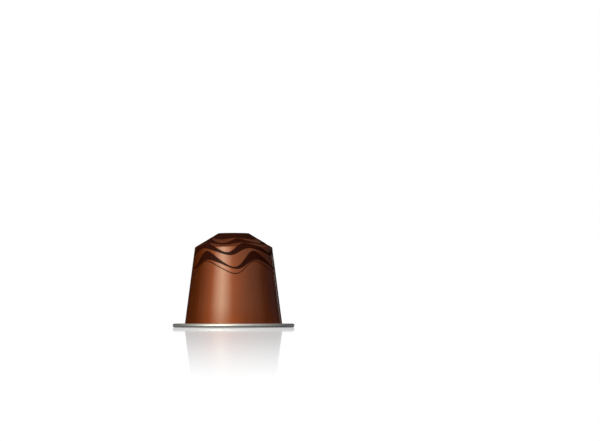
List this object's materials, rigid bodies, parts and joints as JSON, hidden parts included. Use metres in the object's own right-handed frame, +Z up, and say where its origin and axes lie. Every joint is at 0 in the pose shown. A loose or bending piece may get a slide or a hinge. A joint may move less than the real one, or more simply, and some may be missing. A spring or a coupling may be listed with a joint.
{
  "type": "coffee pod",
  "caption": "Sealed aluminium coffee pod: a tapered cup with a sloped shoulder, a dimpled crown and a flange with a rolled rim, a soft ring on the flange and a foil lid.",
  "frame": {"origin": "centre of the circle on which the rolled rim stands, on the surface below it", "axes": "+Z up along the pod's own axis, from the lid to the crown; -Y faces the viewer of the picture and +X is to the right"},
  "size_m": [0.037, 0.037, 0.0286],
  "materials": {
    "brown_lacquer": "satin metallic brown lacquer on drawn aluminium, with a darker brown printed border round the shoulder; the flange and its rolled edge are bare and silver",
    "sealing_compound": "matte pale grey food-grade sealing compound",
    "bare_foil": "bright bare foil, plain, with fine creases"
  },
  "bodies": {
    "root": {"capsule": "brown_lacquer", "seal_ring": "sealing_compound", "foil_lid": "bare_foil"}
  },
  "joints": []
}
